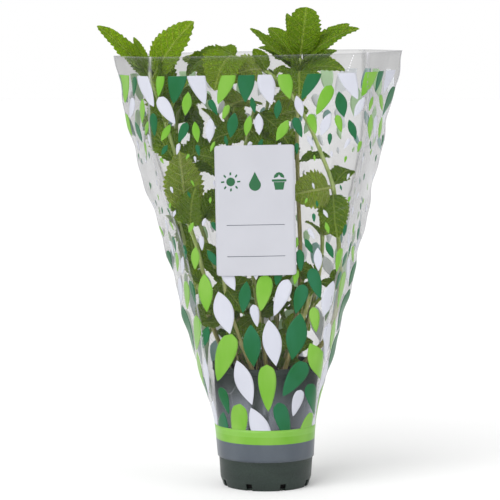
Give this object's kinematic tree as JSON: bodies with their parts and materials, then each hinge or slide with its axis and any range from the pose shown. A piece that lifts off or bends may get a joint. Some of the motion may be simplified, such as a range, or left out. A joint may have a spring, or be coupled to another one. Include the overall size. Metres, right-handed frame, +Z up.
{
  "type": "potted mint plant",
  "caption": "Potted mint herb with serrated leaves, in a round plastic nursery pot inside a flared clear plant sleeve with a plain card label.",
  "frame": {"origin": "centre of the pot's flat underside, where it stands", "axes": "+Z up along the pot, +X to the right along the broad front of the sleeve, -Y towards the front"},
  "size_m": [0.2572, 0.1014, 0.4045],
  "materials": {
    "pot_plastic": "satin",
    "compost": "matte",
    "film": "gloss",
    "label_card": "satin",
    "mint_leaf": "matte"
  },
  "bodies": {
    "root": {"pot": "pot_plastic", "compost": "compost", "sleeve": "film", "label": "label_card", "mint_stem_1": "mint_leaf", "mint_stem_2": "mint_leaf", "mint_stem_3": "mint_leaf", "mint_stem_4": "mint_leaf", "mint_stem_5": "mint_leaf", "mint_stem_6": "mint_leaf", "mint_stem_7": "mint_leaf", "mint_stem_8": "mint_leaf", "mint_stem_9": "mint_leaf", "mint_stem_10": "mint_leaf", "mint_stem_11": "mint_leaf"}
  },
  "joints": []
}
